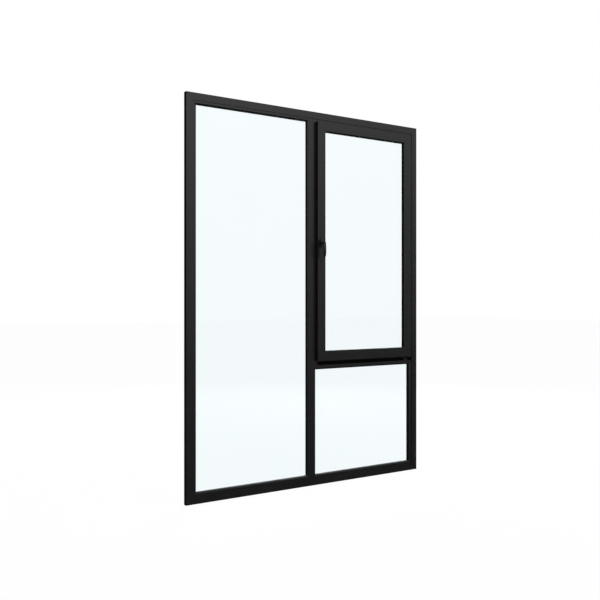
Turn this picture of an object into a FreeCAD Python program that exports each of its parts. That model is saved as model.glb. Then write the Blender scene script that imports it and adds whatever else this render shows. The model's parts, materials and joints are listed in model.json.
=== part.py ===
import FreeCAD, Part
import math
import os

# Aluminium window unit: a fixed frame with a tall fixed light on the left, a low fixed light
# on the right, and above it an inward-opening sash hung on its right edge and worked by a
# lever handle.  Millimetres.  +X runs to the right seen from the room, +Y out of the room,
# +Z up.  The origin is the centre of the sill's bottom face.

# Overall sizes
WIDTH = 1480.0
HEIGHT = 2000.0
MULLION_FROM_LEFT = 735.0
TRANSOM_HEIGHT = 648.0

# Fixed frame extrusion: full-depth flange at the room side, narrower body behind it
FRAME_BODY = 37.0
FLANGE_DEPTH = 24.0
INSTALL_REBATE = 12.0
WALL = 2.0
LEG_REACH = 7.0
LEG_THICK = 3.0
FACE_STEP = 3.0
MULLION_BODY = 17.0
TRANSOM_BODY = 22.0
GUTTER_DEPTH = 20.0
GUTTER_LIP = 4.5
GUTTER_HEIGHT = 5.5

# Glazing: bead, gaskets and double-glazed unit
BEAD_FACE = 12.0
BEAD_SLOPE = 6.2
BEAD_DROP = 4.0
BEAD_DEPTH = 14.0
BEAD_WALL = 1.6
ROOM_GASKET = 3.0
ROOM_GASKET_LIP = 0.5
OUTER_GASKET = 3.0
OUTER_GASKET_WIDTH = 4.0
PANE = 4.0
CAVITY = 6.0
SPACER_WIDTH = 6.0
PANE_EDGE_GAP = 2.0
SETTING_BLOCK_LENGTH = 100.0
SETTING_BLOCK_INSET = 120.0

# Opening sash and the adaptor frame that carries it
SASH_MARGIN_SIDE = 19.0
SASH_MARGIN_TOP = 14.0
SASH_MARGIN_BOTTOM = 7.0
SASH_PROUD = 17.0
SASH_FLANGE_THICK = 16.0
SASH_FLANGE_REACH = 17.0
SASH_BODY = 34.5
ADAPTOR_OVERLAP = 5.0
ADAPTOR_END_GAP = 2.5
STOP_LEG_GAP = 5.0
STOP_LEG_REACH = 20.0
SEAL_GAP = 0.3
STOP_SEAL_INSET = 1.0
STOP_SEAL_WIDTH = 6.0
OVERLAP_SEAL_INSET = 0.8
OVERLAP_SEAL_WIDTH = 3.6

# Hardware groove in the lock stile
GROOVE_SETBACK = 29.0
GROOVE_WIDTH = 12.0
GROOVE_MOUTH = 8.0
GROOVE_LIP = 1.5
GROOVE_SPACE = 3.2

# Corner cleats and end blocks
CLEAT_LENGTH = 60.0
CLEAT_CLEARANCE = 0.2
FIXING_HOLE_RADIUS = 3.5
FIXING_DEPTH = 32.0
FIXING_END = 200.0
FIXING_SPACING = 550.0

# Hinges
HINGE_END = 150.0
HINGE_COUNT = 3
HINGE_OFFSET = 8.0
KNUCKLE_RADIUS = 4.5
PIN_RADIUS = 2.5
PIN_CLEARANCE = 0.05
PIN_HEAD_RADIUS = 3.6
PIN_HEAD_HEIGHT = 2.0
SASH_KNUCKLE = 24.0
FRAME_KNUCKLE = 18.0
KNUCKLE_GAP = 0.5
LEAF_HEIGHT = 88.0
LEAF_THICK = 2.0
LEAF_GAP = 0.5
LEAF_SIDE_GAP = 2.0
LEAF_SETBACK = 1.0
SCREW_RADIUS = 1.75
SCREW_HEAD_RADIUS = 3.0
SCREW_HEAD_HEIGHT = 1.3
SCREW_LENGTH = 9.0
HINGE_SCREW_INSET = 5.5

# Handle
HANDLE_HEIGHT = 1298.0
HANDLE_INSET = 22.8
CASE_ROOM = 2.4
BASE_PLATE = 2.0
BASE_COVER = 9.0
BASE_WALL = 1.5
BASE_ROUND = 1.2
TOLERANCE = 0.01
HUB_RADIUS = 6.5
RUNNING = 0.05
SPINDLE_RADIUS = 3.5
SPINDLE_LENGTH = 22.0
LEVER_LENGTH = 76.0
LEVER_WIDTH = 13.0
LEVER_TIP_WIDTH = 11.0
LEVER_THICK = 8.0
LEVER_TIP_THICK = 6.4
LEVER_STANDOFF = 22.0
LEVER_BOW = 3.5
LEVER_TIP_RETURN = 1.5
LEVER_STATIONS = (0.3, 0.8)
HUB_RISE = 8.0

# Rack and pinion drive, rods, cams and keeps
PINION_TEETH = 16
PITCH_RADIUS = 6.4
BACKLASH = 0.25
TURN = math.radians(90.0)
PINION_THICK = 4.4
PINION_CLEARANCE = 0.1
RACK_WIDTH = 2.0
ADDENDUM = 0.8
DEDENDUM = 1.1
FLANK_LEAN = 0.36
SLIDER_PLATE = 1.5
SLIDE_GAP = 0.3
SLIDER_HIGH = 4.0
ROD_THICK = 2.6
ROD_END = 75.0
WEB_HALF = 30.0
PRONG_HEIGHT = 4.0
PRONG_FOOT = 3.0
CAM_RADIUS = 3.5
CAM_HEAD_RADIUS = 5.5
CAM_HEAD_THICK = 2.0
CAM_REACH = 7.0
CAM_FROM_HANDLE = 90.0
CAM_FROM_END = 140.0
KEEP_HEIGHT = 62.0
KEEP_THICK = 2.5
KEEP_RAIL = 1.0
KEEP_WIDTH = 18.0

# Drain covers on the outside of the sill
WEEP_LENGTH = 42.0
WEEP_HEIGHT = 12.0
WEEP_THICK = 4.0
WEEP_INSET = 180.0

# Levels measured along Y; zero depth is the room face of the frame's flange
ROOM_FACE = -FLANGE_DEPTH / 2
FLANGE_BACK = ROOM_FACE + FLANGE_DEPTH
FACE = ROOM_FACE + FACE_STEP
UNIT = 2 * PANE + CAVITY
GLASS_SETBACK = BEAD_DEPTH + ROOM_GASKET
ADAPTOR_BACK = FACE + GLASS_SETBACK + UNIT
LEG_FRONT = ADAPTOR_BACK + OUTER_GASKET
FRAME_BACK = LEG_FRONT + LEG_THICK
SASH_FRONT = ROOM_FACE - SASH_PROUD
SASH_FLANGE_BACK = SASH_FRONT + SASH_FLANGE_THICK
SASH_LEG_FRONT = SASH_FRONT + GLASS_SETBACK + UNIT + OUTER_GASKET
SASH_BACK = SASH_LEG_FRONT + LEG_THICK
STOP_FRONT = SASH_BACK + STOP_LEG_GAP
STOP_BACK = STOP_FRONT + LEG_THICK

# The handle's casing is sized from the gear inside it
MODULE = 2 * PITCH_RADIUS / PINION_TEETH
TRAVEL = PITCH_RADIUS * TURN
SLIDER_LOW = TRAVEL + SLIDER_HIGH
RACK_BACK = PITCH_RADIUS + DEDENDUM * MODULE + RACK_WIDTH
BASE_RADIUS = RACK_BACK + CASE_ROOM
BASE_SCREW_OFFSET = SLIDER_LOW + SLIDE_GAP + SCREW_HEAD_RADIUS
BASE_HEIGHT = 2 * (BASE_SCREW_OFFSET + SCREW_HEAD_RADIUS + SLIDE_GAP + BASE_WALL)

# Plan rectangles (x0, z0, x1, z1)
OUTER = (-WIDTH / 2, 0.0, WIDTH / 2, HEIGHT)
MULLION_X = -WIDTH / 2 + MULLION_FROM_LEFT


def inset(rect, left, bottom=None, right=None, top=None):
    """Shrink a rectangle by one margin, or by one margin a side."""
    bottom = left if bottom is None else bottom
    right = left if right is None else right
    top = left if top is None else top
    return (rect[0] + left, rect[1] + bottom, rect[2] - right, rect[3] - top)


INNER = inset(OUTER, FRAME_BODY)
LEFT_LIGHT = (INNER[0], INNER[1], MULLION_X - MULLION_BODY / 2, INNER[3])
LOWER_LIGHT = (MULLION_X + MULLION_BODY / 2, INNER[1], INNER[2], TRANSOM_HEIGHT - TRANSOM_BODY / 2)
VENT = (LOWER_LIGHT[0], TRANSOM_HEIGHT + TRANSOM_BODY / 2, INNER[2], INNER[3])
SASH = inset(VENT, SASH_MARGIN_SIDE, SASH_MARGIN_BOTTOM, SASH_MARGIN_SIDE, SASH_MARGIN_TOP)
SASH_LIGHT = inset(SASH, SASH_BODY)
SIDES = ("left", "right", "bottom", "top")
ADAPTOR_WIDTH = {
    "left": SASH_MARGIN_SIDE + ADAPTOR_OVERLAP,
    "right": SASH_MARGIN_SIDE + ADAPTOR_OVERLAP,
    "bottom": SASH_MARGIN_BOTTOM + ADAPTOR_OVERLAP,
    "top": SASH_MARGIN_TOP + ADAPTOR_OVERLAP,
}

nodes = {}


# ---------------------------------------------------------------- shape helpers
def vec(x, y, z):
    return FreeCAD.Vector(x, y, z)


def box(x0, y0, z0, x1, y1, z1):
    return Part.makeBox(x1 - x0, y1 - y0, z1 - z0, vec(x0, y0, z0))


def rod(radius, start, end):
    axis = end - start
    return Part.makeCylinder(radius, axis.Length, start, axis)


def slab(points, direction):
    """Extrude a closed outline of 3-D points."""
    return Part.Face(Part.makePolygon(points + [points[0]])).extrude(direction)


def rectangle(n0, y0, n1, y1):
    return [(n0, y0), (n1, y0), (n1, y1), (n0, y1)]


def at_side(side, rect, n, y, s):
    """The point n inside a rectangle's side, at depth y and at s along the side."""
    if side == "left":
        return vec(rect[0] + n, y, s)
    if side == "right":
        return vec(rect[2] - n, y, s)
    if side == "bottom":
        return vec(s, y, rect[1] + n)
    return vec(s, y, rect[3] - n)


def along(side, rect):
    """Start and end of a side."""
    if side in ("left", "right"):
        return rect[1], rect[3]
    return rect[0], rect[2]


def profile(side, rect, outline, holes=(), span=None):
    """Extrude a section (n, y) along one side of a rectangle, square-cut."""
    start, end = span or along(side, rect)
    run = at_side(side, rect, 0, 0, end) - at_side(side, rect, 0, 0, start)
    shape = slab([at_side(side, rect, n, y, start) for n, y in outline], run)
    for hole in holes:
        shape = shape.cut(slab([at_side(side, rect, n, y, start) for n, y in hole], run))
    return shape


def mitred(side, rect, outline, holes=()):
    """The same member with its two ends cut at 45 degrees."""
    reach = max(n for n, y in outline)
    low = min(y for n, y in outline)
    high = max(y for n, y in outline)
    start, end = along(side, rect)
    wedge = [
        at_side(side, rect, 0, low, start),
        at_side(side, rect, reach, low, start + reach),
        at_side(side, rect, reach, low, end - reach),
        at_side(side, rect, 0, low, end),
    ]
    return profile(side, rect, outline, holes).common(slab(wedge, vec(0, high - low, 0)))


def ring(rect, outer, inner, y0, y1):
    a = inset(rect, outer)
    b = inset(rect, inner)
    solid = box(a[0], y0, a[1], a[2], y1, a[3])
    return solid.cut(box(b[0], y0, b[1], b[2], y1, b[3]))


def stadium(x, z, radius, height, y0, y1):
    """An upright stadium-shaped block."""
    straight = height / 2 - radius
    middle = box(x - radius, y0, z - straight, x + radius, y1, z + straight)
    top = rod(radius, vec(x, y0, z + straight), vec(x, y1, z + straight))
    low = rod(radius, vec(x, y0, z - straight), vec(x, y1, z - straight))
    return middle.fuse([top, low]).removeSplitter()


def group(shapes):
    return Part.makeCompound(shapes)


def screw(head, direction, length):
    """A pan-head screw whose head stands on the point head, pointing along direction."""
    tip = head + direction * length
    top = head - direction * SCREW_HEAD_HEIGHT
    return rod(SCREW_RADIUS, top, tip).fuse(rod(SCREW_HEAD_RADIUS, top, head)).removeSplitter()


# ---------------------------------------------------------------- fixed frame
def frame_section():
    tip = FRAME_BODY + LEG_REACH
    outline = [
        (0, ROOM_FACE), (FRAME_BODY, ROOM_FACE), (FRAME_BODY, LEG_FRONT), (tip, LEG_FRONT),
        (tip, FRAME_BACK), (INSTALL_REBATE, FRAME_BACK), (INSTALL_REBATE, FLANGE_BACK),
        (0, FLANGE_BACK),
    ]
    front = rectangle(WALL, ROOM_FACE + WALL, FRAME_BODY - WALL, FLANGE_BACK - WALL)
    back = rectangle(INSTALL_REBATE + WALL, FLANGE_BACK, FRAME_BODY - WALL, FRAME_BACK - WALL)
    return outline, [front, back]


def fixing_heights():
    top = HEIGHT - FIXING_END
    return [FIXING_END, FIXING_END + FIXING_SPACING, top - FIXING_SPACING, top]


def frame():
    outline, holes = frame_section()
    names = {"left": "frame_jamb_left", "right": "frame_jamb_right",
             "bottom": "frame_sill", "top": "frame_head"}
    for side in SIDES:
        member = mitred(side, OUTER, outline, holes)
        if side in ("left", "right"):
            for z in fixing_heights():
                start = at_side(side, OUTER, 0, ROOM_FACE + FIXING_DEPTH, z)
                end = at_side(side, OUTER, FRAME_BODY, ROOM_FACE + FIXING_DEPTH, z)
                member = member.cut(rod(FIXING_HOLE_RADIUS, start, end))
        nodes[names[side]] = member


def corner_cleat(rect, near, far, y0, y1, right, top):
    """An L-shaped block pushed into the hollows of two mitred members."""
    x = rect[2] if right else rect[0]
    z = rect[3] if top else rect[1]
    to_x = -1 if right else 1
    to_z = -1 if top else 1
    reach = far + CLEAT_LENGTH
    points = [(near, near), (reach, near), (reach, far), (far, far), (far, reach), (near, reach)]
    return slab([vec(x + to_x * a, y0, z + to_z * b) for a, b in points], vec(0, y1 - y0, 0))


def corner_cleats(rect, near, far, y0, y1):
    gap = CLEAT_CLEARANCE
    corners = [(r, t) for r in (False, True) for t in (False, True)]
    return group([corner_cleat(rect, near + gap, far - gap, y0 + gap, y1 - gap, r, t)
                  for r, t in corners])


def bar_section(half, room_side):
    """Mullion and transom section (offset, y): a box body with two outer glazing legs."""
    tip = half + LEG_REACH
    return room_side + [
        (half, LEG_FRONT), (tip, LEG_FRONT), (tip, FRAME_BACK), (-tip, FRAME_BACK),
        (-tip, LEG_FRONT), (-half, LEG_FRONT),
    ]


def mullion():
    half = MULLION_BODY / 2
    low, high = INNER[1], INNER[3]
    outline = bar_section(half, [(-half, FACE), (half, FACE)])
    hollow = rectangle(-half + WALL, FACE + WALL, half - WALL, FRAME_BACK - WALL)
    run = vec(0, 0, high - low)
    bar = slab([vec(MULLION_X + n, y, low) for n, y in outline], run)
    bar = bar.cut(slab([vec(MULLION_X + n, y, low) for n, y in hollow], run))
    reach = half + LEG_REACH
    for z in (low, high - LEG_REACH):
        bar = bar.cut(box(MULLION_X - reach, LEG_FRONT, z, MULLION_X + reach, FRAME_BACK, z + LEG_REACH))
    nodes["mullion"] = bar


def transom():
    half = TRANSOM_BODY / 2
    x0, x1 = LOWER_LIGHT[0], INNER[2]
    gutter_back = FACE + GUTTER_DEPTH
    room = [(-half, FACE), (-half + GUTTER_LIP, FACE), (-half + GUTTER_LIP, gutter_back),
            (half, gutter_back)]
    outline = bar_section(half, room)
    hollow = rectangle(-half + WALL, gutter_back + WALL, half - WALL, FRAME_BACK - WALL)
    run = vec(x1 - x0, 0, 0)
    bar = slab([vec(x0, y, TRANSOM_HEIGHT + n) for n, y in outline], run)
    bar = bar.cut(slab([vec(x0, y, TRANSOM_HEIGHT + n) for n, y in hollow], run))
    reach = half + LEG_REACH
    for x in (x0, x1 - LEG_REACH):
        bar = bar.cut(box(x, LEG_FRONT, TRANSOM_HEIGHT - reach, x + LEG_REACH, FRAME_BACK,
                          TRANSOM_HEIGHT + reach))
    nodes["transom"] = bar


def joint_blocks():
    """Blocks inside the ends of the mullion and the transom, where they meet the frame."""
    across = MULLION_BODY / 2 - WALL - CLEAT_CLEARANCE
    up = TRANSOM_BODY / 2 - WALL - CLEAT_CLEARANCE
    back = FRAME_BACK - WALL - LEG_THICK
    front = FACE + WALL + CLEAT_CLEARANCE
    gutter = FACE + GUTTER_DEPTH + WALL + CLEAT_CLEARANCE
    blocks = []
    for z in (INNER[1], INNER[3] - CLEAT_LENGTH):
        blocks.append(box(MULLION_X - across, front, z, MULLION_X + across, back, z + CLEAT_LENGTH))
    for x in (LOWER_LIGHT[0], INNER[2] - CLEAT_LENGTH):
        blocks.append(box(x, gutter, TRANSOM_HEIGHT - up, x + CLEAT_LENGTH, back, TRANSOM_HEIGHT + up))
    nodes["bar_joint_blocks"] = group(blocks)


# ---------------------------------------------------------------- glazing
def bead_section(front):
    tip = BEAD_FACE + BEAD_SLOPE
    back = front + BEAD_DEPTH
    outline = [(0, front), (BEAD_FACE, front), (tip, front + BEAD_DROP), (tip, back), (0, back)]
    hollow = rectangle(BEAD_WALL, front + BEAD_DROP + BEAD_WALL, tip - BEAD_WALL, back - BEAD_WALL)
    return outline, [hollow]


def glazing(name, light, front):
    """Beads and panes of one light; its spacer, gaskets and setting blocks are returned."""
    outline, holes = bead_section(front)
    for side in SIDES:
        nodes[name + "_bead_" + side] = mitred(side, light, outline, holes)
    glass = front + GLASS_SETBACK
    back = glass + UNIT
    unit = inset(light, PANE_EDGE_GAP)
    nodes[name + "_pane_room"] = box(unit[0], glass, unit[1], unit[2], glass + PANE, unit[3])
    nodes[name + "_pane_outside"] = box(unit[0], back - PANE, unit[1], unit[2], back, unit[3])
    spacer = ring(unit, 0, SPACER_WIDTH, glass + PANE, back - PANE)
    tip = BEAD_FACE + BEAD_SLOPE + ROOM_GASKET_LIP
    room = ring(light, BEAD_FACE, tip, glass - ROOM_GASKET, glass)
    outside = ring(light, LEG_REACH - OUTER_GASKET_WIDTH, LEG_REACH, back, back + OUTER_GASKET)
    far_block = light[2] - SETTING_BLOCK_INSET - SETTING_BLOCK_LENGTH
    blocks = [box(x, glass, light[1], x + SETTING_BLOCK_LENGTH, back, unit[1])
              for x in (light[0] + SETTING_BLOCK_INSET, far_block)]
    return [spacer], [room, outside], blocks


def all_glazing():
    left = glazing("left", LEFT_LIGHT, FACE)
    lower = glazing("lower", LOWER_LIGHT, FACE)
    opening = glazing("sash", SASH_LIGHT, SASH_FRONT)
    for i, name in enumerate(("spacer", "gaskets", "setting_blocks")):
        nodes["fixed_" + name] = group(left[i] + lower[i])
        nodes["sash_" + name] = group(opening[i])


# ---------------------------------------------------------------- adaptor frame
def adaptor_outline(side, gutter=0.0):
    width = ADAPTOR_WIDTH[side]
    tip = width + STOP_LEG_REACH
    rear = [(width, FACE), (width, STOP_FRONT), (tip, STOP_FRONT), (tip, STOP_BACK),
            (width, STOP_BACK), (width, ADAPTOR_BACK), (0, ADAPTOR_BACK)]
    if gutter:
        recess = FACE + GUTTER_DEPTH
        return [(0, recess), (gutter, recess), (gutter, FACE)] + rear
    return [(0, FACE)] + rear


def adaptor():
    """Four members lining the vent opening; the jambs run past the head and the sill."""
    lip_top = TRANSOM_HEIGHT - TRANSOM_BODY / 2 + GUTTER_LIP
    jambs = []
    for side, low in (("left", lip_top), ("right", VENT[1])):
        outline = adaptor_outline(side)
        width = ADAPTOR_WIDTH[side]
        hollow = rectangle(WALL, FACE + WALL, width - WALL, ADAPTOR_BACK - WALL)
        jamb = profile(side, VENT, outline, [hollow], (low, VENT[3]))
        transom_body = box(VENT[0], FACE + GUTTER_DEPTH, lip_top, VENT[2], FRAME_BACK, VENT[1])
        nodes["adaptor_jamb_" + side] = jamb.cut(transom_body)
        jambs.append(profile(side, VENT, outline))
    for side, name, gutter in (("top", "adaptor_head", 0.0), ("bottom", "adaptor_sill", GUTTER_HEIGHT)):
        front = FACE + (GUTTER_DEPTH if gutter else 0.0) + WALL
        hollow = rectangle(WALL, front, ADAPTOR_WIDTH[side] - WALL, ADAPTOR_BACK - WALL)
        rail = profile(side, VENT, adaptor_outline(side, gutter), [hollow])
        nodes[name] = rail.cut(group(jambs))
    nodes["adaptor_gasket"] = ring(VENT, ADAPTOR_END_GAP, ADAPTOR_END_GAP + OUTER_GASKET_WIDTH,
                                   ADAPTOR_BACK, LEG_FRONT)
    near = SASH_FLANGE_REACH + STOP_SEAL_INSET
    nodes["stop_seal"] = ring(SASH, near, near + STOP_SEAL_WIDTH, SASH_BACK + SEAL_GAP, STOP_FRONT)


# ---------------------------------------------------------------- sash
GROOVE_MIDDLE = SASH_FRONT + GROOVE_SETBACK
GROOVE_FLOOR = SASH_FLANGE_REACH + GROOVE_LIP + GROOVE_SPACE
ROD_NEAR = SASH_FLANGE_REACH + GROOVE_LIP + SLIDE_GAP
ROD_FAR = ROD_NEAR + ROD_THICK
SPINDLE_X = SASH[0] + HANDLE_INSET


def sash_section():
    tip = SASH_BODY + LEG_REACH
    outline = [
        (0, SASH_FRONT), (SASH_BODY, SASH_FRONT), (SASH_BODY, SASH_LEG_FRONT),
        (tip, SASH_LEG_FRONT), (tip, SASH_BACK), (SASH_FLANGE_REACH, SASH_BACK),
        (SASH_FLANGE_REACH, SASH_FLANGE_BACK), (0, SASH_FLANGE_BACK),
    ]
    flange = rectangle(WALL, SASH_FRONT + WALL, SASH_BODY - WALL, SASH_FLANGE_BACK - WALL)
    body = rectangle(GROOVE_FLOOR + WALL, SASH_FLANGE_BACK, SASH_BODY - WALL, SASH_BACK - WALL)
    return outline, [flange, body]


def groove_cut(side):
    """The undercut hardware groove that runs the length of a sash member."""
    mouth = rectangle(SASH_FLANGE_REACH, GROOVE_MIDDLE - GROOVE_MOUTH / 2,
                      SASH_FLANGE_REACH + GROOVE_LIP, GROOVE_MIDDLE + GROOVE_MOUTH / 2)
    space = rectangle(SASH_FLANGE_REACH + GROOVE_LIP, GROOVE_MIDDLE - GROOVE_WIDTH / 2,
                      GROOVE_FLOOR, GROOVE_MIDDLE + GROOVE_WIDTH / 2)
    return profile(side, SASH, mouth).fuse(profile(side, SASH, space))


def fork_slot():
    """The way of the fork's prongs through the walls of the lock stile."""
    gap = SLIDE_GAP
    low = HANDLE_HEIGHT - SLIDER_LOW + PRONG_FOOT - gap
    return box(SASH[0] + ROD_NEAR - gap, SASH_FRONT, low, SASH[0] + ROD_FAR + gap,
               GROOVE_MIDDLE, HANDLE_HEIGHT + PRONG_HEIGHT / 2 + TRAVEL + gap)


def base_screw_heads():
    return [vec(SPINDLE_X, SASH_FRONT - BASE_PLATE, HANDLE_HEIGHT + side * BASE_SCREW_OFFSET)
            for side in (-1, 1)]


def sash():
    outline, holes = sash_section()
    names = {"left": "sash_lock_stile", "right": "sash_hinge_stile",
             "bottom": "sash_bottom_rail", "top": "sash_top_rail"}
    for side in SIDES:
        member = mitred(side, SASH, outline, holes).cut(groove_cut(side))
        if side == "left":
            member = member.cut(fork_slot())
            for head in base_screw_heads():
                tip = head + vec(0, BASE_PLATE + SCREW_LENGTH, 0)
                member = member.cut(rod(SCREW_RADIUS + RUNNING, head, tip))
        if side == "right":
            for head in sash_screw_heads():
                tip = head - vec(LEAF_THICK + SCREW_LENGTH, 0, 0)
                member = member.cut(rod(SCREW_RADIUS + RUNNING, head, tip))
        nodes[names[side]] = member
    nodes["sash_corner_cleats"] = corner_cleats(
        SASH, GROOVE_FLOOR + WALL, SASH_BODY - WALL, SASH_FLANGE_BACK, SASH_BACK - WALL)
    near = OVERLAP_SEAL_INSET
    nodes["sash_overlap_seal"] = ring(SASH, near, near + OVERLAP_SEAL_WIDTH, SASH_FLANGE_BACK,
                                      FACE - SEAL_GAP)


# ---------------------------------------------------------------- hinges
PIN_X = SASH[2] + HINGE_OFFSET
PIN_Y = FACE - LEAF_THICK - LEAF_GAP - KNUCKLE_RADIUS
KNUCKLE_PITCH = SASH_KNUCKLE / 2 + KNUCKLE_GAP


def hinge_heights():
    low = SASH[1] + HINGE_END
    high = SASH[3] - HINGE_END
    return [low + i * (high - low) / (HINGE_COUNT - 1) for i in range(HINGE_COUNT)]


def hinge_screw_offsets():
    reach = LEAF_HEIGHT / 2 - HINGE_SCREW_INSET
    return (-reach, reach)


def sash_screw_heads():
    y = (SASH_FRONT + SASH_FLANGE_BACK) / 2
    return [vec(SASH[2] + LEAF_THICK, y, z + dz) for z in hinge_heights() for dz in hinge_screw_offsets()]


def frame_screw_heads():
    return [vec(PIN_X, FACE - LEAF_THICK, z + dz) for z in hinge_heights() for dz in hinge_screw_offsets()]


def knuckle(z0, z1, radius):
    return rod(radius, vec(PIN_X, PIN_Y, z0), vec(PIN_X, PIN_Y, z1))


def sash_leaf(z):
    half = SASH_KNUCKLE / 2
    edge = SASH[2]
    leaf = box(edge, SASH_FRONT + LEAF_SETBACK, z - LEAF_HEIGHT / 2, edge + LEAF_THICK,
               SASH_FLANGE_BACK - LEAF_SETBACK, z + LEAF_HEIGHT / 2)
    web = box(edge, PIN_Y - LEAF_THICK, z - half, PIN_X, PIN_Y + LEAF_THICK, z + half)
    leaf = leaf.fuse([web, knuckle(z - half, z + half, KNUCKLE_RADIUS)])
    leaf = leaf.cut(knuckle(z - half, z + half, PIN_RADIUS + PIN_CLEARANCE))
    for head in sash_screw_heads():
        if abs(head.z - z) < LEAF_HEIGHT / 2:
            leaf = leaf.cut(rod(SCREW_RADIUS + RUNNING, head, head - vec(LEAF_THICK, 0, 0)))
    return leaf.removeSplitter()


def frame_leaf(z):
    x0 = PIN_X - KNUCKLE_RADIUS
    x1 = INNER[2] - LEAF_SIDE_GAP
    plate = FACE - LEAF_THICK
    leaf = box(x0, plate, z - LEAF_HEIGHT / 2, x1, FACE, z + LEAF_HEIGHT / 2)
    for side in (-1, 1):
        z0 = z + side * KNUCKLE_PITCH
        z1 = z0 + side * FRAME_KNUCKLE
        low, high = min(z0, z1), max(z0, z1)
        web = box(PIN_X - LEAF_THICK, PIN_Y, low, PIN_X + LEAF_THICK, plate, high)
        leaf = leaf.fuse([web, knuckle(low, high, KNUCKLE_RADIUS)])
        leaf = leaf.cut(knuckle(low, high, PIN_RADIUS + PIN_CLEARANCE))
    for head in frame_screw_heads():
        if abs(head.z - z) < LEAF_HEIGHT / 2:
            leaf = leaf.cut(rod(SCREW_RADIUS + RUNNING, head, head + vec(0, LEAF_THICK, 0)))
    return leaf.removeSplitter()


def hinge_pin(z):
    reach = KNUCKLE_PITCH + FRAME_KNUCKLE
    pin = knuckle(z - reach, z + reach, PIN_RADIUS)
    low = knuckle(z - reach - PIN_HEAD_HEIGHT, z - reach, PIN_HEAD_RADIUS)
    high = knuckle(z + reach, z + reach + PIN_HEAD_HEIGHT, PIN_HEAD_RADIUS)
    return pin.fuse([low, high]).removeSplitter()


def hinges():
    heights = hinge_heights()
    nodes["hinge_sash_leaves"] = group([sash_leaf(z) for z in heights])
    nodes["hinge_frame_leaves"] = group([frame_leaf(z) for z in heights])
    nodes["hinge_pins"] = group([hinge_pin(z) for z in heights])
    nodes["hinge_sash_screws"] = group(
        [screw(h, vec(-1, 0, 0), LEAF_THICK + SCREW_LENGTH) for h in sash_screw_heads()])
    jamb = nodes["adaptor_jamb_right"]
    for head in frame_screw_heads():
        tip = head + vec(0, LEAF_THICK + SCREW_LENGTH, 0)
        jamb = jamb.cut(rod(SCREW_RADIUS + RUNNING, head, tip))
    nodes["adaptor_jamb_right"] = jamb


# ---------------------------------------------------------------- handle
PLATE_FRONT = SASH_FRONT - BASE_PLATE
COVER_FRONT = PLATE_FRONT - BASE_COVER
CAVITY_FRONT = COVER_FRONT + WALL


def handle_base():
    z = HANDLE_HEIGHT
    plate = stadium(SPINDLE_X, z, BASE_RADIUS, BASE_HEIGHT, PLATE_FRONT, SASH_FRONT)
    plate = plate.cut(fork_slot().translated(vec(0, -BASE_PLATE, 0)))
    for head in base_screw_heads():
        plate = plate.cut(rod(SCREW_RADIUS + RUNNING, head, head + vec(0, BASE_PLATE, 0)))
    nodes["handle_base_plate"] = plate
    cover = stadium(SPINDLE_X, z, BASE_RADIUS, BASE_HEIGHT, COVER_FRONT, PLATE_FRONT)
    rim = [e for e in cover.Edges if e.BoundBox.YMax < COVER_FRONT + TOLERANCE]
    cover = cover.makeFillet(BASE_ROUND, rim)
    cover = cover.cut(stadium(SPINDLE_X, z, BASE_RADIUS - BASE_WALL, BASE_HEIGHT - 2 * BASE_WALL,
                              CAVITY_FRONT, PLATE_FRONT))
    bore = rod(HUB_RADIUS + RUNNING, vec(SPINDLE_X, COVER_FRONT, z), vec(SPINDLE_X, CAVITY_FRONT, z))
    nodes["handle_base_cover"] = cover.cut(bore)
    nodes["handle_screws"] = group(
        [screw(h, vec(0, 1, 0), BASE_PLATE + SCREW_LENGTH) for h in base_screw_heads()])


def lever_side():
    """Side view of the lever blade as a face in the plane of the spindle axis."""
    z = HANDLE_HEIGHT
    foot = COVER_FRONT - LEVER_STANDOFF + LEVER_THICK
    bowed = foot - LEVER_BOW
    tip = bowed + LEVER_TIP_RETURN
    bow, knee = [-share * LEVER_LENGTH for share in LEVER_STATIONS]
    inner = [(foot, HUB_RISE), (bowed, bow), (bowed, knee), (tip, -LEVER_LENGTH)]
    outer = [(tip - LEVER_TIP_THICK, -LEVER_LENGTH), (bowed - LEVER_THICK, knee),
             (bowed - LEVER_THICK, bow), (foot - LEVER_THICK, HUB_RISE)]
    curves = []
    for points in (inner, outer):
        curve = Part.BSplineCurve()
        curve.interpolate([vec(SPINDLE_X, y, z + dz) for y, dz in points])
        curves.append(curve.toShape())
    ends = [vec(SPINDLE_X, y, z + dz) for y, dz in (inner[-1], outer[0], outer[-1], inner[0])]
    edges = [curves[0], Part.makeLine(ends[0], ends[1]), curves[1], Part.makeLine(ends[2], ends[3])]
    return Part.Face(Part.Wire(edges))


def lever_front():
    """Front view of the lever: a rounded bar that narrows to its tip, as a thick block."""
    z = HANDLE_HEIGHT
    top, tip = LEVER_WIDTH / 2, LEVER_TIP_WIDTH / 2
    y0, y1 = COVER_FRONT - LEVER_STANDOFF - 2 * LEVER_BOW, SASH_FRONT
    low = z - LEVER_LENGTH + tip
    points = [vec(SPINDLE_X - top, y0, z), vec(SPINDLE_X - tip, y0, low),
              vec(SPINDLE_X + tip, y0, low), vec(SPINDLE_X + top, y0, z)]
    bar = slab(points, vec(0, y1 - y0, 0))
    ends = [rod(top, vec(SPINDLE_X, y0, z), vec(SPINDLE_X, y1, z)),
            rod(tip, vec(SPINDLE_X, y0, low), vec(SPINDLE_X, y1, low))]
    return bar.fuse(ends).removeSplitter()


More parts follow.
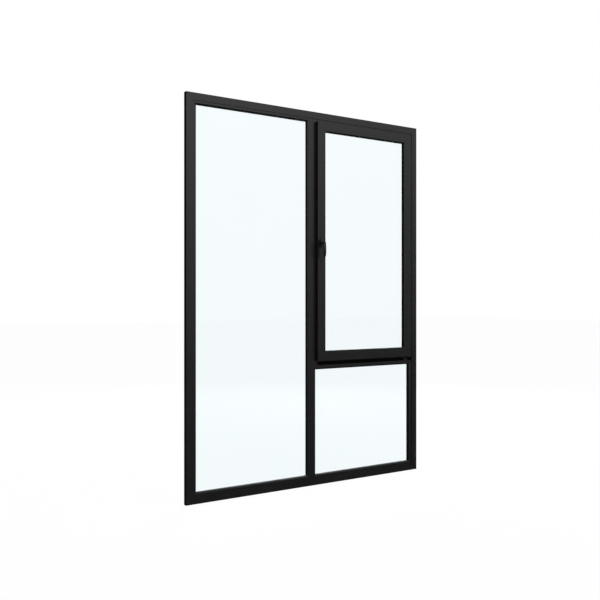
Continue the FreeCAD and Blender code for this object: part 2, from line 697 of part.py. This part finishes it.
def lever():
    z = HANDLE_HEIGHT
    blade = lever_side().extrude(vec(LEVER_WIDTH, 0, 0)).translated(vec(-LEVER_WIDTH / 2, 0, 0))
    blade = blade.common(lever_front())
    hub_tip = COVER_FRONT - LEVER_STANDOFF + LEVER_THICK / 2
    hub_back = CAVITY_FRONT + RUNNING
    hub = rod(HUB_RADIUS, vec(SPINDLE_X, hub_back, z), vec(SPINDLE_X, hub_tip, z))
    socket_end = CAVITY_FRONT - SPINDLE_LENGTH + PINION_THICK
    socket = rod(SPINDLE_RADIUS + RUNNING, vec(SPINDLE_X, hub_back, z),
                 vec(SPINDLE_X, socket_end, z))
    nodes["handle_lever"] = blade.fuse(hub).cut(socket).removeSplitter()


def gear_outline(tooth):
    """Straight-flanked pinion outline; tooth is a half-width in radians at the pitch circle."""
    tip = PITCH_RADIUS + ADDENDUM * MODULE
    root = PITCH_RADIUS - DEDENDUM * MODULE
    lean = FLANK_LEAN * MODULE / PITCH_RADIUS
    points = []
    for i in range(PINION_TEETH):
        middle = 2 * math.pi * i / PINION_TEETH
        for radius, angle in ((root, -tooth - lean), (tip, -tooth + lean), (tip, tooth - lean),
                              (root, tooth + lean)):
            points.append((radius * math.cos(middle + angle), radius * math.sin(middle + angle)))
    return points


def spindle():
    """Pinion with its shaft; a tooth points at the rack, at rest."""
    z = HANDLE_HEIGHT
    tooth = math.pi / 2 / PINION_TEETH - BACKLASH / 2 / PITCH_RADIUS
    back = CAVITY_FRONT + PINION_THICK
    outline = [vec(SPINDLE_X + a, back, z + b) for a, b in gear_outline(tooth)]
    pinion = slab(outline, vec(0, RUNNING + PINION_CLEARANCE - PINION_THICK, 0))
    end = CAVITY_FRONT - SPINDLE_LENGTH + PINION_THICK + RUNNING
    shaft = rod(SPINDLE_RADIUS, vec(SPINDLE_X, back, z), vec(SPINDLE_X, end, z))
    nodes["handle_spindle"] = pinion.fuse(shaft).removeSplitter()


# ---------------------------------------------------------------- drive
def rack():
    """Rack bar beside the pinion; a gap between teeth faces the spindle at rest."""
    z = HANDLE_HEIGHT
    pitch = math.pi * MODULE
    tip = PITCH_RADIUS - ADDENDUM * MODULE
    root = PITCH_RADIUS + DEDENDUM * MODULE
    half = pitch / 4 - BACKLASH / 2
    lean = FLANK_LEAN * MODULE
    count = int(SLIDER_LOW / pitch)
    outline = [(root, -SLIDER_LOW)]
    for i in range(-count, int(SLIDER_HIGH / pitch) + 1):
        middle = (i + 0.5) * pitch
        if middle + half + lean > SLIDER_HIGH or middle - half - lean < -SLIDER_LOW:
            continue
        outline += [(root, middle - half - lean), (tip, middle - half + lean),
                    (tip, middle + half - lean), (root, middle + half + lean)]
    outline += [(root, SLIDER_HIGH), (RACK_BACK, SLIDER_HIGH), (RACK_BACK, -SLIDER_LOW)]
    start = CAVITY_FRONT + SLIDE_GAP
    run = PLATE_FRONT - SLIDE_GAP - start
    return slab([vec(SPINDLE_X + a, start, z + b) for a, b in outline], vec(0, run, 0))


def fork():
    z = HANDLE_HEIGHT
    back = PLATE_FRONT - SLIDE_GAP
    near, far = SASH[0] + ROD_NEAR, SASH[0] + ROD_FAR
    plate = box(near, back - SLIDER_PLATE, z - SLIDER_LOW, SPINDLE_X + RACK_BACK, back,
                z + SLIDER_HIGH)
    prongs = [box(near, back - SLIDER_PLATE, z + low, far, GROOVE_MIDDLE, z + low + PRONG_HEIGHT)
              for low in (PRONG_FOOT - SLIDER_LOW, -PRONG_HEIGHT / 2)]
    half = GROOVE_WIDTH / 2 - SLIDE_GAP
    web = box(near, GROOVE_MIDDLE - half, z - WEB_HALF, far, GROOVE_MIDDLE + half, z + WEB_HALF)
    nodes["drive_fork"] = rack().fuse([plate, web] + prongs).removeSplitter()


def cam_heights():
    return [SASH[1] + CAM_FROM_END, HANDLE_HEIGHT - CAM_FROM_HANDLE,
            HANDLE_HEIGHT + CAM_FROM_HANDLE, SASH[3] - CAM_FROM_END - TRAVEL]


def rods():
    z = HANDLE_HEIGHT
    near, far = SASH[0] + ROD_NEAR, SASH[0] + ROD_FAR
    half = GROOVE_WIDTH / 2 - SLIDE_GAP
    y0, y1 = GROOVE_MIDDLE - half, GROOVE_MIDDLE + half
    nodes["lower_drive_rod"] = box(near, y0, SASH[1] + ROD_END, far, y1, z - WEB_HALF)
    nodes["upper_drive_rod"] = box(near, y0, z + WEB_HALF, far, y1, SASH[3] - ROD_END - TRAVEL)
    cams = []
    for height in cam_heights():
        foot = vec(near, GROOVE_MIDDLE, height)
        head = foot - vec(CAM_REACH, 0, 0)
        neck = rod(CAM_RADIUS, foot, head)
        disc = rod(CAM_HEAD_RADIUS, head, head - vec(CAM_HEAD_THICK, 0, 0))
        cams.append(neck.fuse(disc).removeSplitter())
    nodes["locking_cams"] = group(cams)


def keeps():
    """Plates on the lock-side adaptor jamb, with a low rail each side of the cam's path."""
    wall = VENT[0] + ADAPTOR_WIDTH["left"]
    y0, y1 = GROOVE_MIDDLE - KEEP_WIDTH / 2, GROOVE_MIDDLE + KEEP_WIDTH / 2
    plates = []
    screws = []
    jamb = nodes["adaptor_jamb_left"]
    for height in cam_heights():
        z0 = height + TRAVEL / 2 - KEEP_HEIGHT / 2
        z1 = z0 + KEEP_HEIGHT
        plate = box(wall, y0, z0, wall + KEEP_THICK, y1, z1)
        for y in (y0, y1 - WALL):
            plate = plate.fuse(box(wall, y, z0, wall + KEEP_THICK + KEEP_RAIL, y + WALL, z1))
        for z in (z0 + HINGE_SCREW_INSET, z1 - HINGE_SCREW_INSET):
            head = vec(wall + KEEP_THICK, GROOVE_MIDDLE, z)
            tip = head - vec(KEEP_THICK + SCREW_LENGTH, 0, 0)
            hole = rod(SCREW_RADIUS + RUNNING, head, tip)
            plate = plate.cut(hole)
            jamb = jamb.cut(hole)
            screws.append(screw(head, vec(-1, 0, 0), KEEP_THICK + SCREW_LENGTH))
        plates.append(plate.removeSplitter())
    nodes["lock_keeps"] = group(plates)
    screws += [screw(h, vec(0, 1, 0), LEAF_THICK + SCREW_LENGTH) for h in frame_screw_heads()]
    nodes["keep_and_hinge_screws"] = group(screws)
    nodes["adaptor_jamb_left"] = jamb


# ---------------------------------------------------------------- outside covers
def weep_covers():
    """Sloping hoods over the drain slots in the outside face of the sill."""
    z0 = INSTALL_REBATE + FRAME_BODY / 2 - WEEP_HEIGHT / 2
    section = [(FRAME_BACK, z0), (FRAME_BACK + WEEP_THICK, z0),
               (FRAME_BACK + WEEP_THICK / 2, z0 + WEEP_HEIGHT), (FRAME_BACK, z0 + WEEP_HEIGHT)]
    places = [OUTER[0] + WEEP_INSET, MULLION_X - WEEP_INSET, MULLION_X + WEEP_INSET,
              OUTER[2] - WEEP_INSET]
    nodes["weep_covers"] = group(
        [slab([vec(x - WEEP_LENGTH / 2, y, z) for y, z in section], vec(WEEP_LENGTH, 0, 0))
         for x in places])


# ---------------------------------------------------------------- build
frame()
nodes["frame_corner_cleats"] = corner_cleats(
    OUTER, INSTALL_REBATE + WALL, FRAME_BODY - WALL, FLANGE_BACK, FRAME_BACK - WALL)
mullion()
transom()
joint_blocks()
all_glazing()
adaptor()
sash()
hinges()
handle_base()
lever()
spindle()
fork()
rods()
keeps()
weep_covers()

os.makedirs("parts", exist_ok=True)
for name, shape in nodes.items():
    shape.exportStep("parts/" + name + ".step")
    print(name, len(shape.Solids), round(shape.Volume), shape.isValid())
print(len(nodes), "nodes")
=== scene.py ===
import json
import math

import bmesh
import bpy
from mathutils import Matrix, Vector


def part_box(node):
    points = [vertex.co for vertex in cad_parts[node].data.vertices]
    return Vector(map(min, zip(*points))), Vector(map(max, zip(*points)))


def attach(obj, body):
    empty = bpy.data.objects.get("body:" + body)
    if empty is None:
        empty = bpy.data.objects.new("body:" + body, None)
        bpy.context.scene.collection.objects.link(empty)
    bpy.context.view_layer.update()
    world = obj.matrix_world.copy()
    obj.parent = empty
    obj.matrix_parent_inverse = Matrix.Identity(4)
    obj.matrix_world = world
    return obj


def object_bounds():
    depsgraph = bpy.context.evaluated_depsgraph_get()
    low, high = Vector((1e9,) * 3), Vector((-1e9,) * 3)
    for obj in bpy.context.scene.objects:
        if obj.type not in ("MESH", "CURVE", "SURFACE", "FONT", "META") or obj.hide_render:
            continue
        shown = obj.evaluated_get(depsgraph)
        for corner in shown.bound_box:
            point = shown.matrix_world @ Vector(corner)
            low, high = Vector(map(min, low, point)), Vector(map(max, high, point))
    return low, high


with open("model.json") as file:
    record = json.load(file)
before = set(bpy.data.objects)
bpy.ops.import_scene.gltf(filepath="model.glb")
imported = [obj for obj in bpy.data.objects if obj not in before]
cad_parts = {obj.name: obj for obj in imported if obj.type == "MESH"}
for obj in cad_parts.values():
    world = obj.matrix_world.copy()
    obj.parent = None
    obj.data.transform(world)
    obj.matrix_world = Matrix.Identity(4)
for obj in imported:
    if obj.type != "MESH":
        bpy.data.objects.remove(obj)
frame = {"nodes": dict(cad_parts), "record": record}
cad_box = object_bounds()

scene = bpy.context.scene
scene.view_settings.view_transform = "Standard"

# ---------------------------------------------------------------- finishes
BLACK = (0.0045, 0.0046, 0.0049, 1.0)
BLACK_LIGHT = (0.0065, 0.0066, 0.0070, 1.0)
HANDLE_BLACK = (0.0050, 0.0050, 0.0054, 1.0)
HANDLE_LIGHT = (0.0075, 0.0075, 0.0079, 1.0)
RUBBER = (0.0075, 0.0075, 0.008, 1.0)
RUBBER_LIGHT = (0.013, 0.013, 0.0135, 1.0)
PLASTIC = (0.012, 0.012, 0.0125, 1.0)
PLASTIC_LIGHT = (0.017, 0.017, 0.018, 1.0)
BLOCK = (0.05, 0.05, 0.054, 1.0)
BLOCK_LIGHT = (0.075, 0.075, 0.08, 1.0)
ZINC = (0.46, 0.46, 0.475, 1.0)
ZINC_LIGHT = (0.60, 0.60, 0.61, 1.0)
MILL = (0.56, 0.57, 0.58, 1.0)
MILL_LIGHT = (0.70, 0.71, 0.72, 1.0)
SPACER = (0.022, 0.022, 0.024, 1.0)
SPACER_HOLE = (0.004, 0.004, 0.004, 1.0)
# Near-black strip colours: painted shade for the gutter recess below the sash
SHADE_STRIP_DARK = (0.0022, 0.0022, 0.0024, 1.0)
SHADE_STRIP_PALE = (0.0036, 0.0036, 0.0038, 1.0)
WHITE = (1.0, 1.0, 1.0, 1.0)
BUMP_STRENGTH = 0.6
GLOSS_GRAIN = 0.02
PEEL = 0.00006

# Glass: tint of one face, and the share mirrored from face-on to edge-on
GLASS_TINT = (0.977, 0.9925, 0.9965, 1.0)
GLASS_TINT_LIGHT = (0.980, 0.9940, 0.9975, 1.0)
MIRROR_FACING = 0.004
MIRROR_GRAZING = 0.9
MIRROR_POWER = 5.0
MIRROR_ROUGH = 0.03

# Spacer holes: cells to a metre, and where a hole's edge begins and ends in its cell
HOLE_CELLS = 260.0
HOLE_EDGE = (0.16, 0.22)


def tree_of(material):
    material.use_nodes = True
    nodes = material.node_tree.nodes
    nodes.clear()
    out = nodes.new("ShaderNodeOutputMaterial")
    return material.node_tree, out


def link(tree, source, target):
    tree.links.new(source, target)


def coords(tree, scale=(1.0, 1.0, 1.0)):
    place = tree.nodes.new("ShaderNodeTexCoord")
    mapping = tree.nodes.new("ShaderNodeMapping")
    mapping.inputs["Scale"].default_value = scale
    link(tree, place.outputs["Object"], mapping.inputs["Vector"])
    return mapping.outputs["Vector"]


def noise(tree, vector, scale, detail=3.0, rough=0.5):
    node = tree.nodes.new("ShaderNodeTexNoise")
    node.inputs["Scale"].default_value = scale
    node.inputs["Detail"].default_value = detail
    node.inputs["Roughness"].default_value = rough
    link(tree, vector, node.inputs["Vector"])
    return node.outputs["Fac"]


def span(tree, value, low, high, start=0.3, end=0.7):
    """Map a noise value onto the range low to high."""
    node = tree.nodes.new("ShaderNodeMapRange")
    node.inputs["From Min"].default_value = start
    node.inputs["From Max"].default_value = end
    node.inputs["To Min"].default_value = low
    node.inputs["To Max"].default_value = high
    link(tree, value, node.inputs["Value"])
    return node.outputs["Result"]


def mixed(tree, factor, a, b):
    node = tree.nodes.new("ShaderNodeMix")
    node.data_type = "RGBA"
    node.inputs[6].default_value = a
    node.inputs[7].default_value = b
    link(tree, factor, node.inputs[0])
    return node.outputs[2]


def bump(tree, height, distance):
    node = tree.nodes.new("ShaderNodeBump")
    node.inputs["Strength"].default_value = BUMP_STRENGTH
    node.inputs["Distance"].default_value = distance
    link(tree, height, node.inputs["Height"])
    return node.outputs["Normal"]


def finish_of(name, dark, light, rough, grain, depth, metallic=0.0, specular=0.5,
              stretch=(1.0, 1.0, 1.0), cloud=9.0):
    """A surface with slow colour and gloss variation and a fine grain of its own."""
    material = bpy.data.materials.new(name)
    tree, out = tree_of(material)
    shader = tree.nodes.new("ShaderNodeBsdfPrincipled")
    shader.inputs["Metallic"].default_value = metallic
    shader.inputs["Specular IOR Level"].default_value = specular
    place = coords(tree)
    fine = coords(tree, stretch)
    slow = noise(tree, place, cloud, 4.0, 0.6)
    peel = noise(tree, fine, grain, 3.0, 0.55)
    link(tree, mixed(tree, span(tree, slow, 0.0, 1.0), dark, light), shader.inputs["Base Color"])
    gloss = tree.nodes.new("ShaderNodeMath")
    gloss.operation = "ADD"
    link(tree, span(tree, slow, rough[0], rough[1]), gloss.inputs[0])
    link(tree, span(tree, peel, -GLOSS_GRAIN, GLOSS_GRAIN), gloss.inputs[1])
    link(tree, gloss.outputs[0], shader.inputs["Roughness"])
    link(tree, bump(tree, peel, depth), shader.inputs["Normal"])
    link(tree, shader.outputs["BSDF"], out.inputs["Surface"])
    return material


def glass():
    """Clear float glass: a faint tint at each face, and a mirror that grows towards grazing."""
    material = bpy.data.materials.new("glass")
    tree, out = tree_of(material)
    clear = tree.nodes.new("ShaderNodeBsdfTransparent")
    mirror = tree.nodes.new("ShaderNodeBsdfGlossy")
    mirror.inputs["Color"].default_value = WHITE
    place = coords(tree)
    dust = noise(tree, place, 5.0, 5.0, 0.6)
    tint = mixed(tree, span(tree, dust, 0.0, 1.0), GLASS_TINT, GLASS_TINT_LIGHT)
    link(tree, tint, clear.inputs["Color"])
    link(tree, span(tree, dust, 0.0, MIRROR_ROUGH), mirror.inputs["Roughness"])
    facing = tree.nodes.new("ShaderNodeLayerWeight")
    facing.inputs["Blend"].default_value = 0.5
    grazing = tree.nodes.new("ShaderNodeMath")
    grazing.operation = "POWER"
    grazing.inputs[1].default_value = MIRROR_POWER
    link(tree, facing.outputs["Facing"], grazing.inputs[0])
    mix = tree.nodes.new("ShaderNodeMixShader")
    share = span(tree, grazing.outputs[0], MIRROR_FACING, MIRROR_GRAZING, 0.0, 1.0)
    link(tree, share, mix.inputs[0])
    link(tree, clear.outputs["BSDF"], mix.inputs[1])
    link(tree, mirror.outputs["BSDF"], mix.inputs[2])
    link(tree, mix.outputs["Shader"], out.inputs["Surface"])
    return material


def spacer():
    """Dark anodised bar with the fine rows of holes that the drying agent breathes through."""
    material = finish_of("spacer", SPACER, BLACK_LIGHT, (0.34, 0.42), 700.0, 0.00002, metallic=0.6)
    tree = material.node_tree
    shader = tree.nodes["Principled BSDF"]
    cells = tree.nodes.new("ShaderNodeTexVoronoi")
    cells.inputs["Scale"].default_value = HOLE_CELLS
    cells.inputs["Randomness"].default_value = 0.0
    link(tree, coords(tree), cells.inputs["Vector"])
    hole = span(tree, cells.outputs["Distance"], 1.0, 0.0, *HOLE_EDGE)
    under = tree.nodes.new("ShaderNodeMix")
    under.data_type = "RGBA"
    under.inputs[7].default_value = SPACER_HOLE
    link(tree, hole, under.inputs[0])
    link(tree, shader.inputs["Base Color"].links[0].from_socket, under.inputs[6])
    link(tree, under.outputs[2], shader.inputs["Base Color"])
    return material


finishes = {
    "frame_coat": finish_of("frame_coat", BLACK, BLACK_LIGHT, (0.27, 0.33), 900.0, PEEL),
    "sash_coat": finish_of("sash_coat", BLACK, BLACK_LIGHT, (0.27, 0.33), 850.0, PEEL, cloud=11.0),
    "bead_coat": finish_of("bead_coat", BLACK, BLACK_LIGHT, (0.27, 0.33), 950.0, PEEL, cloud=13.0),
    "hinge_coat": finish_of("hinge_coat", HANDLE_BLACK, HANDLE_LIGHT, (0.34, 0.42), 1100.0, PEEL,
                            cloud=60.0),
    "handle_coat": finish_of("handle_coat", HANDLE_BLACK, HANDLE_LIGHT, (0.30, 0.38), 1300.0,
                             PEEL / 2, cloud=55.0),
    "base_plate": finish_of("base_plate", PLASTIC, PLASTIC_LIGHT, (0.48, 0.58), 1500.0, PEEL),
    "gasket": finish_of("gasket", RUBBER, RUBBER_LIGHT, (0.62, 0.78), 1200.0, PEEL, specular=0.35,
                        cloud=30.0),
    "spacer": spacer(),
    "cleat": finish_of("cleat", MILL, MILL_LIGHT, (0.30, 0.45), 400.0, PEEL, metallic=1.0,
                       stretch=(8.0, 0.4, 8.0)),
    "setting_block": finish_of("setting_block", BLOCK, BLOCK_LIGHT, (0.45, 0.6), 800.0, PEEL),
    "hardware_steel": finish_of("hardware_steel", ZINC, ZINC_LIGHT, (0.26, 0.42), 500.0, PEEL / 2,
                                metallic=1.0, stretch=(6.0, 6.0, 0.5), cloud=40.0),
    "drain_plastic": finish_of("drain_plastic", PLASTIC, PLASTIC_LIGHT, (0.42, 0.55), 1100.0, PEEL),
    # Near-black, low-gloss finish of the strip: painted shade in the gutter recess
    "painted_shade_finish": finish_of("painted_shade_finish", SHADE_STRIP_DARK, SHADE_STRIP_PALE, (0.72, 0.86), 1200.0, PEEL,
                               specular=0.12, cloud=30.0),
    "glass": glass(),
}

# ---------------------------------------------------------------- CAD nodes
EDGE = 0.0004
LEVER_EDGE = 0.0015
EDGE_ANGLE = math.radians(35.0)
EDGE_SEGMENTS = 2
WELD_DISTANCE = 1e-6
SHARP = ("glass", "gasket", "spacer")


def soften(obj, width):
    """Weld the imported mesh and round its hard edges a little."""
    weld = obj.modifiers.new("weld", "WELD")
    weld.merge_threshold = WELD_DISTANCE
    bevel = obj.modifiers.new("bevel", "BEVEL")
    bevel.width = width
    bevel.segments = EDGE_SEGMENTS
    bevel.limit_method = "ANGLE"
    bevel.angle_limit = EDGE_ANGLE
    bevel.harden_normals = True
    bevel.use_clamp_overlap = True


slot_of = {s["node"]: s["material_slot"] for s in frame["record"]["subparts"]}
for name, node in frame["nodes"].items():
    slot = slot_of[name]
    node.data.materials.clear()
    node.data.materials.append(finishes[slot])
    if slot not in SHARP:
        soften(node, LEVER_EDGE if name == "handle_lever" else EDGE)

# ---------------------------------------------------------------- painted shade strip in the gutter
GUTTER_DEPTH = 0.020
STRIP_CLEAR = 0.0002
STRIP_THICK = 0.0006
STRIP_RIB = 0.0008
STRIP_RIBS = 6


def painted_shade_strip():
    """Ribbed near-black strip at the back of the gutter below the sash: a dark sheet of painted
    shade in the recess.
    """
    jamb_low, jamb_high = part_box("adaptor_jamb_left")
    sill_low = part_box("adaptor_sill")[0]
    x0, x1 = jamb_high.x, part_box("adaptor_jamb_right")[0].x
    back = jamb_low.y + GUTTER_DEPTH - STRIP_CLEAR
    z0, z1 = jamb_low.z + STRIP_CLEAR, sill_low.z - STRIP_CLEAR
    pitch = (z1 - z0) / STRIP_RIBS
    face = back - STRIP_THICK
    section = [(back, z1), (back, z0)]
    for i in range(STRIP_RIBS):
        section += [(face, z0 + i * pitch), (face - STRIP_RIB, z0 + (i + 0.5) * pitch)]
    section.append((face, z1))
    mesh = bpy.data.meshes.new("painted_shade_strip")
    work = bmesh.new()
    ends = [[work.verts.new((x, y, z)) for y, z in section] for x in (x0, x1)]
    for i in range(len(section)):
        j = (i + 1) % len(section)
        work.faces.new((ends[0][i], ends[0][j], ends[1][j], ends[1][i]))
    for end in ends:
        work.faces.new(end)
    bmesh.ops.recalc_face_normals(work, faces=work.faces)
    work.to_mesh(mesh)
    work.free()
    mesh.materials.append(finishes["painted_shade_finish"])
    # The strip object is painted shade: a dark sheet where the gutter recess holds only shade
    strip = bpy.data.objects.new("painted_shade_strip", mesh)
    scene.collection.objects.link(strip)
    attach(strip, "frame")


painted_shade_strip()

# ---------------------------------------------------------------- stage
FLOOR_SIZE = 60.0
FLOOR_DROP = 0.0005
FLOOR_GLOW = 0.96
FLOOR_GREY = (0.12, 0.12, 0.12, 1.0)

floor_mesh = bpy.data.meshes.new("floor")
half = FLOOR_SIZE / 2
floor_mesh.from_pydata([(-half, -half, 0), (half, -half, 0), (half, half, 0), (-half, half, 0)], [],
                       [(0, 1, 2, 3)])
floor = bpy.data.objects.new("floor", floor_mesh)
scene.collection.objects.link(floor)
floor.location.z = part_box("frame_sill")[0].z - FLOOR_DROP
floor.visible_glossy = False
pale = bpy.data.materials.new("pale_floor")
tree, out = tree_of(pale)
glow = tree.nodes.new("ShaderNodeEmission")
glow.inputs["Color"].default_value = WHITE
glow.inputs["Strength"].default_value = FLOOR_GLOW
matt = tree.nodes.new("ShaderNodeBsdfDiffuse")
matt.inputs["Color"].default_value = FLOOR_GREY
both = tree.nodes.new("ShaderNodeAddShader")
link(tree, glow.outputs[0], both.inputs[0])
link(tree, matt.outputs[0], both.inputs[1])
link(tree, both.outputs[0], out.inputs["Surface"])
floor_mesh.materials.append(pale)


# Light reflected from each height of the studio, from straight down (-1) to straight up (1)
STUDIO_LEVELS = ((-1.0, 0.0), (-0.42, 0.0), (-0.25, 0.09), (-0.13, 0.19), (0.0, 0.45), (0.13, 1.00),
                 (0.26, 1.60), (0.45, 1.60), (0.83, 0.3), (1.0, 0.10))
# Share of that light by direction: (share at start, share at end, start, end)
ROOM_SIDE = (1.0, 0.0, -0.50, -0.15)
LEFT_END = (0.0, 1.0, -0.80, -0.40)
RIGHT_FADE = (1.12, 0.58, 0.40, 0.75)


def product(tree, a, b):
    node = tree.nodes.new("ShaderNodeMath")
    node.operation = "MULTIPLY"
    link(tree, a, node.inputs[0])
    link(tree, b, node.inputs[1])
    return node.outputs[0]


def studio():
    """White to the eye; for reflections a soft wall on the room side, bright above, dim below."""
    world = bpy.data.worlds.new("studio")
    scene.world = world
    world.use_nodes = True
    tree = world.node_tree
    tree.nodes.clear()
    out = tree.nodes.new("ShaderNodeOutputWorld")
    place = tree.nodes.new("ShaderNodeTexCoord")
    parts = tree.nodes.new("ShaderNodeSeparateXYZ")
    link(tree, place.outputs["Generated"], parts.inputs[0])
    height = span(tree, parts.outputs["Z"], 0.0, 1.0, -1.0, 1.0)
    ramp = tree.nodes.new("ShaderNodeValToRGB")
    link(tree, height, ramp.inputs[0])
    while len(ramp.color_ramp.elements) < len(STUDIO_LEVELS):
        ramp.color_ramp.elements.new(0.5)
    for element, (z, level) in zip(ramp.color_ramp.elements, STUDIO_LEVELS):
        element.position = (z + 1) / 2
        element.color = (level, level, level, 1.0)
    side = span(tree, parts.outputs["Y"], *ROOM_SIDE)
    turn = span(tree, parts.outputs["X"], *LEFT_END)
    fade = span(tree, parts.outputs["X"], *RIGHT_FADE)
    strength = product(tree, product(tree, product(tree, side, turn), fade), ramp.outputs["Color"])
    soft = tree.nodes.new("ShaderNodeBackground")
    link(tree, strength, soft.inputs["Strength"])
    white = tree.nodes.new("ShaderNodeBackground")
    white.inputs["Strength"].default_value = 1.0
    white.inputs["Color"].default_value = WHITE
    path = tree.nodes.new("ShaderNodeLightPath")
    mix = tree.nodes.new("ShaderNodeMixShader")
    link(tree, path.outputs["Is Camera Ray"], mix.inputs[0])
    link(tree, soft.outputs[0], mix.inputs[1])
    link(tree, white.outputs[0], mix.inputs[2])
    link(tree, mix.outputs[0], out.inputs["Surface"])


studio()


def softbox(name, place, aim, size, power):
    data = bpy.data.lights.new(name, "AREA")
    data.shape = "RECTANGLE"
    data.size, data.size_y = size
    data.energy = power
    lamp = bpy.data.objects.new(name, data)
    scene.collection.objects.link(lamp)
    lamp.location = place
    lamp.rotation_mode = "QUATERNION"
    lamp.rotation_quaternion = (Vector(aim) - Vector(place)).to_track_quat("-Z", "Y")
    lamp.visible_camera = False
    return lamp


# Lights: place (its height is above the object), width and length in metres, watts
TOP_LIGHT = ((0.3, -0.8, 2.2), (3.0, 3.0), 6.0)
REAR_LIGHT = ((2.6, 3.4, 0.6), (2.4, 2.4), 60.0)

low, high = cad_box
middle = (low + high) / 2
for name, (place, size, power) in (("top_light", TOP_LIGHT), ("rear_light", REAR_LIGHT)):
    above = (place[0], place[1], high.z + place[2])
    softbox(name, above, (0, 0, middle.z), size, power)

# ---------------------------------------------------------------- camera
CAMERA_LEFT = 1.610
CAMERA_BACK = 3.415
CAMERA_HEIGHT = 0.9923
CAMERA_LENS = 46.5
CAMERA_SENSOR = 36.0
CAMERA_AIM = Vector((0.5534, 0.8330, 0.0))

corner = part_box("frame_jamb_left")[0]
camera_data = bpy.data.cameras.new("camera")
camera_data.lens = CAMERA_LENS
camera_data.sensor_width = CAMERA_SENSOR
camera = bpy.data.objects.new("camera", camera_data)
scene.collection.objects.link(camera)
camera.location = corner + Vector((-CAMERA_LEFT, -CAMERA_BACK, CAMERA_HEIGHT))
camera.rotation_mode = "QUATERNION"
camera.rotation_quaternion = CAMERA_AIM.to_track_quat("-Z", "Y")
scene.camera = camera
